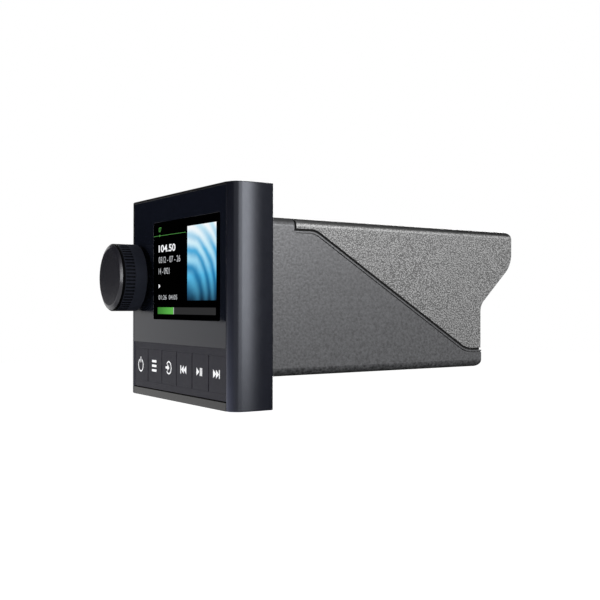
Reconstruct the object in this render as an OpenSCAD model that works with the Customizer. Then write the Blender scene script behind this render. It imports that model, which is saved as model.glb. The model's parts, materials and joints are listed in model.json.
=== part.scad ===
// Panel-mounted marine stereo. Millimetres. The origin is the centre of the mounting face, where the
// gasket meets the dash: X to the right seen from the front, Y into the dash, Z up.

/* [Front] */
// width of the front, over the side trims
face_w = 93.2; // [92:0.2:96]
// height of the front
face_h = 79; // [78.6:0.2:82]
// depth of the bezel, from its face to its back rim
bezel_d = 16.5; // [16.2:0.1:18.4]
// side trim seen from the front, from the seam to the widest point
trim_face = 4.6; // [4.4:0.1:4.9]
// wall of the side trims
trim_t = 1.8; // [1.5:0.1:2]
// end walls of the side trims
trim_end = 1.6; // [1.2:0.1:2]
// how far the trim leans in from its widest point to the front corner
trim_lead = 0.35; // [0.2:0.05:0.5]
// how far the trim leans in from its widest point to the back rim
trim_tail = 0.9; // [0.6:0.1:1]
// radius of the trim's front corner
trim_r = 4; // [2:0.1:4.1]
// radius of the trim's bowed side
trim_bow_r = 45; // [25:1:46]
// rim of the bezel above the face panel
top_lip = 0.8; // [0.6:0.1:1.2]
// lip of the bezel below the keys
low_lip = 2.9; // [1.8:0.1:3]
// dark line between the keys and the lower lip
lip_gap = 0.4; // [0.2:0.05:0.6]
// front wall of the bezel, behind the face panel
front_wall = 2; // [1.7:0.1:2.1]
// top and bottom walls of the bezel
rim_wall = 2; // [1.6:0.1:2.1]
// side walls of the bezel, inside the trims
side_wall = 1.8; // [1.5:0.1:1.9]
// thickness of the face panel
panel_t = 2; // [1.8:0.1:2.2]

/* [Display] */
// width of the display window
window_w = 58.9; // [52:0.1:60]
// height of the display window
window_h = 38; // [33:0.1:38.4]
// window, in from the right edge of the front
window_in = 9.3; // [9:0.1:12]
// window, down from the top edge of the front
window_top = 10.1; // [9.9:0.1:11.4]
// corner radius of the window
window_r = 0.8; // [0.4:0.1:1.5]
// border of the display behind the window
lcd_border = 1.2; // [0.8:0.1:1.3]
// thickness of the display
lcd_t = 3.2; // [2.6:0.1:3.4]
// thickness of the foam ring in front of the display
lcd_foam = 0.6; // [0.5:0.1:0.8]
// wall of the frame behind the display
lcd_frame_wall = 1.6; // [1.2:0.1:3]

/* [Keys] */
// height of the key panel
keypad_h = 18.1; // [17.5:0.1:18.8]
// thickness of the key panel
key_t = 2.4; // [2:0.1:2.8]
// key panel set back behind the face
key_setback = 0.3; // [0.1:0.05:0.5]
// strip of the key panel above the keys
key_top = 2.6; // [2:0.1:3]
// strip of the key panel below the keys
key_foot = 2.5; // [2:0.1:3]
// strip of the key panel at each end
key_end = 0.5; // [0.4:0.1:1.2]
// slit between two keys
key_slit = 0.4; // [0.3:0.05:0.6]
// travel of a key
key_travel = 0.6; // [0.4:0.05:0.8]
// radius of the pip behind a key
pip_r = 2.6; // [2:0.1:2.8]
// width of a tact switch
switch_w = 6; // [5.5:0.1:6.2]
// height of a tact switch above the front board
switch_h = 3.4; // [3:0.1:3.8]
// radius of a switch plunger
plunger_r = 1.7; // [1.4:0.1:2]
// how far a plunger stands out of its switch
plunger_out = 0.9; // [0.85:0.05:1.2]

/* [Knob] */
// radius of the knob
knob_r = 13.6; // [13:0.1:14.5]
// length of the knob's grip
grip_l = 9.5; // [9.4:0.1:11.2]
// gap between the grip and the face
knob_gap = 2; // [1.9:0.1:2.6]
// centre of the knob, in from the left edge of the front
knob_in = 9.8; // [9.2:0.1:10.2]
// centre of the knob, above the face centre
knob_z = 8.1; // [6:0.1:10]
// wall of the grip
grip_wall = 2.3; // [1.8:0.1:3]
// web of the grip, behind its cap
grip_web = 2.6; // [2.4:0.1:3]
// groove between the grip and the cap
cap_groove = 0.4; // [0.3:0.05:0.6]
// depth of that groove
cap_groove_d = 0.6; // [0.4:0.1:0.9]
// length of the cap's bevel
cap_bevel = 0.9; // [0.7:0.1:1.4]
// cap set in behind the grip's radius
cap_in = 0.2; // [0.1:0.05:0.4]
// radius of the cap's flat face
cap_face_r = 11.5; // [11:0.1:12.2]
// count of the grooves in the grip
knurl_n = 60; // [40:2:64]
// length of the grooves
knurl_l = 3.8; // [2.5:0.1:5]
// plain band in front of the grooves
knurl_lead = 0.8; // [0.3:0.1:1]
// width of a groove
knurl_w = 0.7; // [0.5:0.05:0.8]
// depth of a groove
knurl_d = 0.4; // [0.3:0.05:0.6]
// radius of the shaft
shaft_r = 3; // [2.7:0.1:3]
// flat of the shaft's front end, from its axis
shaft_flat = 1.8; // [1.5:0.1:2.1]
// depth of the shaft in the grip's hub
hub_depth = 6.3; // [5.6:0.1:6.4]
// radius of the grip's hub
hub_r = 5.4; // [4.6:0.1:6]
// travel of the knob when pressed
knob_travel = 0.6; // [0.4:0.05:0.7]
// outer radius of the encoder's threaded bushing
bushing_r = 3.8; // [3.7:0.05:3.85]
// how far the bushing stands out in front of the face
bushing_out = 2.2; // [2:0.1:2.3]
// encoder nut, across its flats
nut_af = 11; // [10:0.1:12]
// thickness of the encoder nut
nut_t = 1.8; // [1.4:0.1:1.9]
// width of the encoder case
enc_w = 9; // [8.8:0.1:9]
// height of the encoder case
enc_h = 11; // [10:0.1:12]
// radius of the rotor inside the case
rotor_r = 3.8; // [3.5:0.1:3.85]
// front plate of the encoder case
enc_plate = 0.9; // [0.8:0.05:1]
// back plate of the encoder case
enc_back = 0.6; // [0.5:0.05:0.7]
// radius of the shaft's tail in the rotor
tail_r = 2.2; // [1.9:0.1:2.4]
// flats of the shaft's tail, from its axis
tail_flat = 1.4; // [1.2:0.1:1.6]
// thickness of the ring that seals the encoder
enc_seal_t = 0.8; // [0.7:0.05:1]
// outer radius of the ring that seals the encoder
enc_seal_r = 4.4; // [4.2:0.05:4.45]

/* [Body] */
// width of the body at the flange
body_w = 74; // [72:0.2:75]
// how far the front stands out above and below the body
end_over = 10.6; // [10.4:0.1:11]
// radius of the body's long edges
body_r = 3; // [2.8:0.1:4]
// draft of the body's four long faces, in degrees
draft = 0.58; // [0.4:0.02:0.7]
// wall of the housing
wall = 2.5; // [2.4:0.1:2.8]
// wall of the rear cover
cover_wall = 3; // [2.8:0.1:3.2]
// reach of the body behind the mounting face, at the top
top_l = 119.8; // [117:0.2:124]
// reach of the rear cover's connector wall
low_l = 102.8; // [101:0.1:103.2]
// how far the housing's rear stands out below the connector wall
rear_step = 0.4; // [0.2:0.05:0.6]
// radius of the cover's top rear edge
top_rear_r = 2.6; // [2:0.1:4]
// radius of the housing's bottom rear edge
low_rear_r = 2.5; // [2:0.1:3]
// where the overhang's slope would meet the rear face, below the top
over_drop = 14.9; // [13.9:0.1:15.9]
// where the overhang's slope would meet the connector wall, above the bottom
under_rise = 26.1; // [25.7:0.1:26.9]
// radius of the overhang's rounded belly
over_r = 11; // [9:0.5:12]
// radius of the hollow above the connector wall
under_r = 6; // [5:0.5:6]
// seam across the top, behind the mounting face
seam_y = 13.8; // [12:0.1:15]
// seam along the side at the front, below the top
seam_drop = 4.4; // [4.4:0.1:5.5]
// where the seam bends down
seam_bend_y = 22.6; // [21.5:0.1:24]
// where the seam's slope ends, ahead of the connector wall
foot_in = 7.7; // [6.5:0.1:9.5]
// seam at the rear, above the bottom
seam_rise = 8.3; // [7.4:0.1:8.9]
// radius of the seam's upper bend
seam_bend_r = 8; // [6:0.5:9]
// radius of the seam's lower bend
seam_foot_r = 12; // [9:0.5:13]
// open gap of the seam
seam_gap = 0.9; // [0.6:0.05:1]
// strip of the housing between the seam and a fine groove below it
strip_w = 0.6; // [0.5:0.05:1.4]
// width of that groove
line_w = 0.35; // [0.25:0.05:0.5]
// depth of that groove
line_d = 0.4; // [0.3:0.05:0.6]
// seal in the seam, below the outer skin
seal_in = 0.4; // [0.3:0.05:1]
// width of the seal across the wall
seal_w = 1; // [0.8:0.05:1.2]

/* [Mounting] */
// thickness of the mounting gasket
gasket_t = 1.6; // [1.4:0.1:2]
// how far the gasket stands out behind the bezel
gasket_out = 0.4; // [0.3:0.05:0.8]
// thickness of the housing's flange
flange_t = 3.4; // [3:0.1:4]
// mounting inserts, from the centre, sideways
insert_x = 28; // [27.6:0.1:28.4]
// mounting inserts, in from the top and bottom of the front
insert_in = 5.5; // [5.4:0.05:5.6]
// thread bore of an insert, radius of M4's core
insert_bore = 1.65; // [1.55:0.05:1.75]
// outer radius of an insert
insert_r = 2.6; // [2.4:0.05:2.7]
// length of an insert
insert_l = 6; // [5:0.1:6.5]
// wall around an insert
insert_wall = 0.6; // [0.5:0.05:0.6]

/* [Fasteners] */
// core radius of the screws
screw_r = 1.2; // [1.1:0.05:1.3]
// head radius of the screws
head_r = 2.4; // [2.2:0.1:2.5]
// head height of the screws
head_t = 1.5; // [1.3:0.1:1.7]
// bite of a screw in its boss
bite = 4.6; // [4:0.1:5]
// bosses of the bezel, sideways
boss_x = 14; // [13.6:0.1:14.4]
// bosses of the bezel, in from the top and bottom of the front
boss_in = 5.3; // [5.2:0.05:5.4]
// radius of those bosses
boss_r = 2.8; // [2.6:0.05:2.8]
// cover screws, in from the sides of the body
well_in = 8.4; // [8.2:0.1:9]
// front cover screws, behind the mounting face
well_front = 40; // [39:0.2:42]
// rear cover screws, ahead of the sockets
well_back = 13.3; // [12:0.1:15]
// wall of the screw wells
well_wall = 1.6; // [1.4:0.1:1.8]
// length of a cover screw under its head
cover_screw_l = 12; // [11:0.2:14]

/* [Electronics] */
// thickness of the boards
board_t = 1.6; // [1.4:0.1:1.8]
// underside of the main board, above the bottom of the body
board_rise = 8.3; // [8.1:0.1:8.7]
// main board, in from the sides of the body
board_side = 6; // [5:0.2:7]
// rear edge of the main board, ahead of the connector wall
board_rear_gap = 2; // [1:0.1:3]
// front edge of the main board
board_front = 2; // [1:0.2:3]
// board posts, in from the sides of the board
post_in = 9; // [8:0.2:11]
// front board posts, behind the mounting face
post_front = 14; // [12:0.2:15]
// rear board posts, ahead of the sockets
post_back = 3.6; // [3.2:0.1:5]
// radius of the board posts
post_r = 3; // [2.6:0.1:3.4]
// width of the amplifier chip
chip_w = 26; // [24:0.2:28]
// thickness of the amplifier chip
chip_t = 4.6; // [4.2:0.1:5]
// height of the amplifier chip
chip_h = 14; // [12:0.2:15]
// front of the amplifier chip
chip_y = 52; // [50:0.2:54]
// thickness of the cover's heat rib
rib_t = 5; // [4.5:0.1:6]
// thermal pad between the chip and the rib
pad_t = 0.5; // [0.3:0.05:0.8]
// sheet of the chip clamp
clamp_t = 1.2; // [1:0.1:1.5]
// radius of a filter capacitor
cap_r = 6.2; // [5.5:0.1:6.4]
// height of a filter capacitor
cap_h = 20; // [16:0.5:25]
// distance between the filter capacitors
cap_pitch = 14; // [13:0.2:16]
// filter capacitors, behind the mounting face
cap_y = 30; // [26:0.5:34]
// mean radius of the choke coil
choke_ring = 6; // [5.5:0.1:7]
// radius of the choke coil's round section
choke_r = 2.8; // [2.4:0.1:3.2]
// choke coil, right of the centre
choke_x = 10; // [0:0.5:14]
// width of the flat cable
ribbon_w = 20; // [16:0.5:24]
// thickness of the flat cable
ribbon_t = 0.4; // [0.3:0.05:0.6]
// height of the cable's plugs
ribbon_plug = 3; // [2.6:0.1:3.6]
// size of a plug along the cable
plug_d = 4; // [3:0.1:5]
// how far the cable lies on a plug
ribbon_hold = 2.4; // [2:0.1:3]
// front plug, above the main board
ribbon_rise = 4.5; // [4:0.1:6]
// plug on the main board, behind the mounting face
plug_y = 6; // [5:0.1:7]

/* [Sockets] */
// width of the power socket
power_w = 18; // [17:0.1:20]
// height of the power socket
power_h = 11.4; // [11:0.1:12]
// width of the network socket
net_w = 13.8; // [13.4:0.1:15]
// height of the network socket
net_h = 12.4; // [12:0.1:12.6]
// walls of the power socket
socket_wall = 1.5; // [1.3:0.1:1.7]
// walls of the network socket
net_wall = 1; // [0.8:0.1:1.2]
// floor of the power and network sockets
sock_floor = 2.5; // [2:0.1:3]
// depth of the power and network sockets
socket_d = 12; // [11:0.1:13]
// how far the power and network sockets stand out of the wall
socket_out = 0.8; // [0.5:0.1:1.5]
// thread radius of the data connector
data_r = 6; // [5.8:0.05:6.2]
// radius of the data connector's shoulder
shoulder_r = 6.6; // [6.4:0.1:7.2]
// thickness of that shoulder
shoulder_t = 2; // [1.5:0.1:3]
// wall of the data connector's cup
data_wall = 1.6; // [1.2:0.1:2]
// data connector and antenna socket, above the main board
round_rise = 6.4; // [6:0.1:7]
// how far the data connector stands out of the wall
data_out = 10; // [9:0.1:12]
// bore radius of the antenna socket
ant_r = 4.3; // [4.1:0.05:4.4]
// wall of the antenna socket
ant_wall = 0.9; // [0.8:0.05:1]
// how far the antenna socket stands out of the wall
ant_out = 10; // [9:0.1:12]
// radius of the antenna socket's inner contact hole
ant_core = 1.6; // [1.2:0.1:2]
// radius of the contact pins
pin_r = 0.5; // [0.4:0.05:0.6]
// length of the contact pins
pin_l = 5; // [4:0.1:5.5]
// distance between the power pins
pin_pitch = 2.4; // [2.2:0.1:2.5]
// distance between the network contacts
net_pitch = 1.1; // [0.9:0.05:1.2]
// width and height of a network contact
net_pin = 0.4; // [0.3:0.05:0.5]

/* [Fits] */
// sliding or turning fit, per side
run_fit = 0.05; // [0.03:0.01:0.08]
// drop-in fit, per side
drop_fit = 0.1; // [0.08:0.01:0.15]
// open clearance
clear = 0.2; // [0.15:0.05:0.3]
// hairline between a key and its panel
key_fit = 0.05; // [0.03:0.01:0.08]

/* [Hidden] */
$fn = 48;
// reach of a cut past the face it opens
past = 1;
// far outside the part
far = 200;
// overlap that joins two solids into one
join = 0.3;
// crossing that keeps a rounded edge from meeting a face in a tangent
cross = 0.05;

// front to back planes
y_rim = -gasket_out;
y_face = y_rim - bezel_d;
y_flange = -gasket_t;
y_flange_front = y_flange - flange_t;
y_board = y_flange_front - clear - board_t;
y_panel = y_face + panel_t;
y_wall = y_panel + front_wall;
y_key = y_face + key_setback;
y_key_back = y_key + key_t;
y_lcd = y_panel + lcd_foam;
y_lcd_back = y_lcd + lcd_t;
y_switch = y_board - switch_h;
y_plunger = y_switch - plunger_out;
y_enc = y_wall + enc_seal_t;

// front layout
window_x = face_w / 2 - window_in - window_w / 2;
window_z = face_h / 2 - window_top - window_h / 2;
knob_x = face_w / 2 - knob_in;
insert_z = face_h / 2 - insert_in;
boss_z = face_h / 2 - boss_in;
seam_x = face_w / 2 - trim_face;
ear_x = face_w / 2 - trim_tail - trim_t - clear;
ear_h = face_h - 2 * (trim_end + clear);
cave_w = 2 * (ear_x - side_wall);
cave_h = face_h - 2 * rim_wall;
cave_r = 3;
ear_r = 2;
// the bow's corner point, outside the widest point
trim_crown = 0.15;
panel_w = 2 * (seam_x - drop_fit);
lip_z = -face_h / 2 + low_lip;
pad_z0 = lip_z + lip_gap;
pad_z1 = pad_z0 + keypad_h;
panel_z0 = pad_z1 + drop_fit;
panel_z1 = face_h / 2 - top_lip - drop_fit;
lcd_w = window_w + 2 * lcd_border;
lcd_h = window_h + 2 * lcd_border;
key_z0 = pad_z0 + key_foot;
key_z1 = pad_z1 - key_top;
key_z = (key_z0 + key_z1) / 2;
keys_w = panel_w - 2 * key_end;
key_n = 6;
key_pitch = (keys_w + key_slit) / key_n;
key_w = key_pitch - key_slit;
pip_hole = pip_r + clear;

// knob planes, front to back
y_grip = y_face - knob_gap;
y_grip_front = y_grip - grip_l;
y_cap = y_grip_front - cap_groove;
y_cap_face = y_cap - cap_bevel;
y_hub = y_grip_front + grip_web;
cap_peg_r = 4;
cap_peg_l = 1.2;
y_shaft = y_hub - join;
y_hub_back = y_shaft + hub_depth;
y_rotor = y_enc + enc_plate + run_fit;
y_rotor_back = y_board - enc_back - run_fit;
y_shoulder = y_rotor - knob_travel - clear;
y_tail = y_rotor_back - knob_travel - clear;

// body
y_body = y_flange_front;
body_h = face_h - 2 * end_over;
over_z = body_h / 2 - over_drop;
under_z = -body_h / 2 + under_rise;
seam_z = body_h / 2 - seam_drop;
seam_foot_y = low_l - foot_in;
seam_foot_z = -body_h / 2 + seam_rise;
slope = tan(draft);
function skin_z(y) = body_h / 2 - slope * (y - y_body);
function skin_x(y) = body_w / 2 - slope * (y - y_body);
house_l = low_l + rear_step;
seam_angle = atan2(seam_z - seam_foot_z, seam_foot_y - seam_bend_y);
function seam_at(y) = seam_z - (y - seam_bend_y) * tan(seam_angle);
well_hole = head_r + clear;
well_r = well_hole + well_wall;
well_floor = 4;
floor_z = -body_h / 2 + board_rise;
deck_z = floor_z + board_t;
board_x = body_w / 2 - board_side;
board_rear = low_l - cover_wall - board_rear_gap;
y_rib = chip_y + chip_t + pad_t;
y_wall_in = low_l - cover_wall;

// sockets, in one evenly spaced row across the connector wall
row_x = skin_x(low_l) - cover_wall;
ant_out_r = ant_r + ant_wall;
row_gap = (2 * row_x - 2 * ant_out_r - 2 * shoulder_r - power_w - net_w) / 5;
ant_x = -row_x + row_gap + ant_out_r;
data_x = ant_x + ant_out_r + row_gap + shoulder_r;
power_x = data_x + shoulder_r + row_gap + power_w / 2;
net_x = power_x + power_w / 2 + row_gap + net_w / 2;
y_sock = low_l + socket_out - socket_d;
y_mouth = low_l + socket_out;
net_z = deck_z + net_h / 2;
power_z = deck_z + power_h / 2;
round_z = deck_z + round_rise;
data_floor = 2;
well_x = body_w / 2 - well_in;
well_rear = y_sock - well_back;
post_x = board_x - post_in;
post_rear = y_sock - post_back;

// straight prism along Y from a shape drawn in X and Z
module along_y(y0, y1) {
  translate([0, y1, 0]) rotate([90, 0, 0]) linear_extrude(y1 - y0) children();
}

// straight prism along X from a shape drawn in Y and Z
module along_x(x0, x1) {
  translate([x0, 0, 0]) rotate([90, 0, 90]) linear_extrude(x1 - x0) children();
}

// box between two corners
module block(a, b) {
  translate(a) cube([b[0] - a[0], b[1] - a[1], b[2] - a[2]]);
}

// rod along Y
module rod(x, z, r, y0, y1) {
  translate([x, y1, z]) rotate([90, 0, 0]) cylinder(r = r, h = y1 - y0);
}

// upright rod
module post(x, y, r, z0, z1) {
  translate([x, y, z0]) cylinder(r = r, h = z1 - z0);
}

// rectangle with round corners
module round_rect(w, h, r) {
  square([w - 2 * r, h], center = true);
  square([w, h - 2 * r], center = true);
  for (sx = [-1, 1], sz = [-1, 1])
    translate([sx * (w / 2 - r), sz * (h / 2 - r)]) circle(r = r);
}

// four places, mirrored sideways and up and down
module four(x, z) {
  for (sx = [-1, 1], sz = [-1, 1]) translate([sx * x, 0, sz * z]) children();
}

// arc that rounds the corner b between a and c
function unit(v) = v / norm(v);
function fillet(a, b, c, r, n = 8) =
  let (u = unit(a - b), v = unit(c - b), half = acos(u * v) / 2,
       middle = b + unit(u + v) * r / sin(half),
       p0 = b + u * r / tan(half), p1 = b + v * r / tan(half),
       a0 = atan2(p0[1] - middle[1], p0[0] - middle[0]),
       a1 = atan2(p1[1] - middle[1], p1[0] - middle[0]),
       turn = a1 - a0 > 180 ? a1 - a0 - 360 : a1 - a0 < -180 ? a1 - a0 + 360 : a1 - a0)
  [for (i = [0:n]) middle + r * [cos(a0 + turn * i / n), sin(a0 + turn * i / n)]];

// outline of the right trim seen from above, filled
trim_a = [seam_x, y_face];
trim_b = [face_w / 2 - trim_lead, y_face];
trim_c = [face_w / 2 + trim_crown, y_face + bezel_d / 2];
trim_d = [face_w / 2 - trim_tail, y_rim];
trim_outline = concat([trim_a], fillet(trim_a, trim_b, trim_c, trim_r),
  fillet(trim_b, trim_c, trim_d, trim_bow_r), [trim_d, [seam_x, y_rim]]);
clip_z = 22;
clip_h = 6;
clip_d = 3;
clip_back = 6;
clip_in = 1;
clip_y0 = y_face + clip_back;
clip_y1 = clip_y0 + clip_d;
clip_x = ear_x - clip_in;

module trim() {
  difference() {
    translate([0, 0, -face_h / 2]) linear_extrude(face_h) polygon(trim_outline);
    // hollow behind the front strip and the side
    translate([0, 0, -face_h / 2 + trim_end]) linear_extrude(face_h - 2 * trim_end)
      polygon([[seam_x - past, y_face + trim_t], [face_w / 2 - trim_lead - trim_t, y_face + trim_t],
        [face_w / 2 - trim_t, trim_c[1]], [trim_d[0] - trim_t, y_rim], [trim_d[0] - trim_t, y_rim + past],
        [seam_x - past, y_rim + past]]);
  }
  // snap clips that enter the bezel's sides
  for (s = [-1, 1])
    translate([0, 0, s * clip_z])
      block([clip_x, clip_y0, -clip_h / 2], [trim_d[0] - trim_t / 3, clip_y1, clip_h / 2]);
}

module right_trim() { color([0.09, 0.1, 0.13]) trim(); }

module left_trim() { color([0.09, 0.1, 0.13]) mirror([1, 0, 0]) trim(); }

module front_bezel() {
  color([0.12, 0.12, 0.13]) {
    difference() {
      union() {
        // frame between the trims
        along_y(y_face, y_rim) square([panel_w, face_h], center = true);
        // ears under the trims
        along_y(y_face + trim_t + clear, y_rim) round_rect(2 * ear_x, ear_h, ear_r);
      }
      // hollow for the front board, open at the back
      along_y(y_wall, y_rim + past) round_rect(cave_w, cave_h, cave_r);
      // seats of the face panel and of the key panel
      block([-far, y_face - past, pad_z1], [far, y_panel, face_h / 2 - top_lip]);
      block([-far, y_face - past, lip_z], [far, y_key_back, pad_z1 + past]);
      // opening for the display
      translate([window_x, 0, window_z])
        along_y(y_panel - past, y_wall + past) square([lcd_w + 2 * clear, lcd_h + 2 * clear], center = true);
      // openings for the pips of the keys
      for (i = [0:key_n - 1]) rod(key_x(i), key_z, pip_hole, y_key_back - past, y_wall + past);
      // opening for the encoder's bushing
      rod(-knob_x, knob_z, bushing_r + drop_fit, y_panel - past, y_wall + past);
      // slots for the trims' clips
      for (sx = [-1, 1], sz = [-1, 1]) translate([sx * ear_x, 0, sz * clip_z])
        block([-clip_in - clear, clip_y0 - clear, -clip_h / 2 - clear],
          [clip_in + clear, clip_y1 + clear, clip_h / 2 + clear]);
    }
    // bosses for the housing's screws
    four(boss_x, boss_z) difference() {
      rod(0, 0, boss_r, y_wall - join, y_board);
      rod(0, 0, screw_r + drop_fit, y_board - bite - clear, y_board + past);
    }
  }
}

module face_panel() {
  color([0.06, 0.07, 0.1]) difference() {
    block([-panel_w / 2, y_face, panel_z0], [panel_w / 2, y_panel, panel_z1]);
    translate([window_x, 0, window_z])
      along_y(y_face - past, y_panel + past) round_rect(window_w, window_h, window_r);
    rod(-knob_x, knob_z, bushing_r + drop_fit, y_face - past, y_panel + past);
  }
}

module display_glass() {
  color([0.02, 0.02, 0.03]) translate([window_x, 0, window_z])
    along_y(y_face, y_panel) round_rect(window_w - 2 * run_fit, window_h - 2 * run_fit, window_r - run_fit);
}

module lcd_foam_ring() {
  color([0.05, 0.05, 0.05]) translate([window_x, 0, window_z]) along_y(y_panel, y_lcd) difference() {
    square([lcd_w, lcd_h], center = true);
    square([window_w, window_h], center = true);
  }
}

module lcd_panel() {
  color([0.15, 0.16, 0.18]) translate([window_x, 0, window_z])
    along_y(y_lcd, y_lcd_back) square([lcd_w, lcd_h], center = true);
}

module lcd_frame() {
  color([0.8, 0.8, 0.78]) translate([window_x, 0, window_z]) along_y(y_lcd_back, y_board) difference() {
    square([lcd_w, lcd_h], center = true);
    square([lcd_w - 2 * lcd_frame_wall, lcd_h - 2 * lcd_frame_wall], center = true);
  }
}

module front_board() {
  color([0.05, 0.3, 0.15]) difference() {
    along_y(y_board, y_board + board_t) square([cave_w - 2 * clear, cave_h - 2 * clear], center = true);
    four(boss_x, boss_z) rod(0, 0, screw_r + clear, y_board - past, y_board + board_t + past);
    four(insert_x, insert_z)
      rod(0, 0, insert_r + insert_wall + clear, y_board - past, y_board + board_t + past);
    // cut corners clear of the bezel's rounded hollow
    four(cave_w / 2, cave_h / 2) rotate([0, 45, 0])
      cube([cave_r, 4 * board_t + far, cave_r], center = true);
  }
}

// keys, from left to right
function key_x(i) = -keys_w / 2 + key_w / 2 + i * key_pitch;

module keypad_frame() {
  color([0.22, 0.22, 0.24]) difference() {
    block([-panel_w / 2, y_key, pad_z0], [panel_w / 2, y_key_back, pad_z1]);
    block([-keys_w / 2, y_key - past, key_z0], [keys_w / 2, y_key_back + past, key_z1]);
  }
}

module key(i) {
  side_fit = i == 0 || i == key_n - 1 ? key_fit : 0;
  color([0.23, 0.23, 0.25]) {
    translate([key_x(i), 0, key_z]) along_y(y_key, y_key_back - key_travel - clear)
      square([key_w - side_fit, key_z1 - key_z0 - 2 * key_fit], center = true);
    rod(key_x(i), key_z, pip_r, y_key_back - key_travel - clear - join, y_plunger);
  }
}

module key_power() { key(0); }

module key_menu() { key(1); }

module key_source() { key(2); }

module key_back() { key(3); }

module key_play() { key(4); }

module key_next() { key(5); }

module tact_switches() {
  color([0.6, 0.6, 0.6]) for (i = [0:key_n - 1]) difference() {
    block([key_x(i) - switch_w / 2, y_switch, key_z - switch_w / 2],
      [key_x(i) + switch_w / 2, y_board, key_z + switch_w / 2]);
    rod(key_x(i), key_z, plunger_r + run_fit, y_switch - past, y_board - join);
  }
}

module plunger(i) {
  color([0.85, 0.8, 0.6]) rod(key_x(i), key_z, plunger_r, y_plunger, y_board - join - key_travel - clear);
}

module plunger_power() { plunger(0); }

module plunger_menu() { plunger(1); }

module plunger_source() { plunger(2); }

module plunger_back() { plunger(3); }

module plunger_play() { plunger(4); }

module plunger_next() { plunger(5); }

module at_knob() { translate([-knob_x, 0, knob_z]) children(); }

module encoder_case() {
  color([0.3, 0.3, 0.32]) at_knob() difference() {
    block([-enc_w / 2, y_enc, -enc_h / 2], [enc_w / 2, y_board, enc_h / 2]);
    rod(0, 0, rotor_r + run_fit, y_enc + enc_plate, y_board - enc_back);
    rod(0, 0, shaft_r + run_fit, y_enc - past, y_enc + enc_plate + past);
  }
}

module encoder_bushing() {
  color([0.75, 0.73, 0.68]) at_knob() difference() {
    rod(0, 0, bushing_r, y_face - bushing_out, y_enc);
    rod(0, 0, shaft_r + run_fit, y_face - bushing_out - past, y_enc + past);
  }
}

module encoder_nut() {
  color([0.75, 0.75, 0.72]) at_knob() difference() {
    translate([0, y_face, 0]) rotate([90, 0, 0]) cylinder(r = nut_af / sqrt(3), h = nut_t, $fn = 6);
    rod(0, 0, bushing_r + run_fit, y_face - nut_t - past, y_face + past);
  }
}

module encoder_seal() {
  color([0.1, 0.1, 0.1]) at_knob() difference() {
    rod(0, 0, enc_seal_r, y_wall, y_enc);
    rod(0, 0, bushing_r + run_fit, y_wall - past, y_enc + past);
  }
}

// round rod with two flats
module tail(r, flat, y0, y1) {
  along_y(y0, y1) intersection() {
    circle(r = r);
    square([2 * flat, 4 * r], center = true);
  }
}

module encoder_rotor() {
  color([0.85, 0.85, 0.8]) at_knob() difference() {
    rod(0, 0, rotor_r, y_rotor, y_rotor_back);
    tail(tail_r + run_fit, tail_flat + run_fit, y_rotor - past, y_rotor_back + past);
  }
}

// round rod with one flat on top
module d_rod(r, flat, y0, y1) {
  along_y(y0, y1) difference() {
    circle(r = r);
    translate([-far / 2, flat]) square([far, far]);
  }
}

module encoder_shaft() {
  color([0.75, 0.75, 0.75]) at_knob() {
    d_rod(shaft_r, shaft_flat, y_shaft, y_hub_back);
    rod(0, 0, shaft_r, y_hub_back, y_shoulder);
    tail(tail_r, tail_flat, y_shoulder - join, y_tail);
  }
}

module knob_grip() {
  color([0.1, 0.1, 0.12]) at_knob() difference() {
    union() {
      // plain band, knurled band and plain skirt
      rod(0, 0, knob_r, y_grip_front, y_grip_front + knurl_lead);
      along_y(y_grip_front + knurl_lead, y_grip_front + knurl_lead + knurl_l) difference() {
        circle(r = knob_r);
        for (i = [0:knurl_n - 1]) rotate(i * 360 / knurl_n)
          translate([knob_r - knurl_d, -knurl_w / 2]) square([knurl_d + past, knurl_w]);
      }
      rod(0, 0, knob_r, y_grip_front + knurl_lead + knurl_l, y_grip);
      // spigot that carries the cap
      rod(0, 0, knob_r - cap_groove_d, y_cap, y_grip_front + join);
    }
    // hollow round the hub
    difference() {
      rod(0, 0, knob_r - grip_wall, y_hub, y_grip + past);
      rod(0, 0, hub_r, y_hub - past, y_hub_back);
    }
    d_rod(shaft_r + run_fit, shaft_flat + run_fit, y_shaft - run_fit, y_grip + past);
    rod(0, 0, cap_peg_r + run_fit, y_cap - past, y_cap + cap_peg_l + run_fit);
  }
}

module knob_cap() {
  color([0.14, 0.14, 0.15]) at_knob() {
    translate([0, y_cap, 0]) rotate([90, 0, 0])
      cylinder(r1 = knob_r - cap_in, r2 = cap_face_r, h = cap_bevel);
    rod(0, 0, cap_peg_r, y_cap - join, y_cap + cap_peg_l);
  }
}

module mounting_gasket() {
  color([0.08, 0.08, 0.08]) along_y(y_flange, 0) difference() {
    round_rect(cave_w - 2 * clear, cave_h - 2 * clear, cave_r - clear);
    round_rect(body_w + 2 * clear, body_h + 2 * clear, body_r + clear);
    for (sx = [-1, 1], sz = [-1, 1]) translate([sx * insert_x, sz * insert_z]) circle(r = insert_r - clear);
  }
}

module mount_inserts() {
  color([0.75, 0.6, 0.3]) four(insert_x, insert_z) difference() {
    rod(0, 0, insert_r, y_flange - insert_l, y_flange);
    rod(0, 0, insert_bore, y_flange - insert_l - past, y_flange + past);
  }
}

// screw along Y with its head at the back
module screw_y(y_seat, l) {
  rod(0, 0, head_r, y_seat, y_seat + head_t);
  rod(0, 0, screw_r, y_seat - l, y_seat + join);
}

y_head = y_flange - head_t;

module housing_screws() {
  color([0.6, 0.6, 0.62]) four(boss_x, boss_z) screw_y(y_head, y_head - y_board + bite);
}

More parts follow.
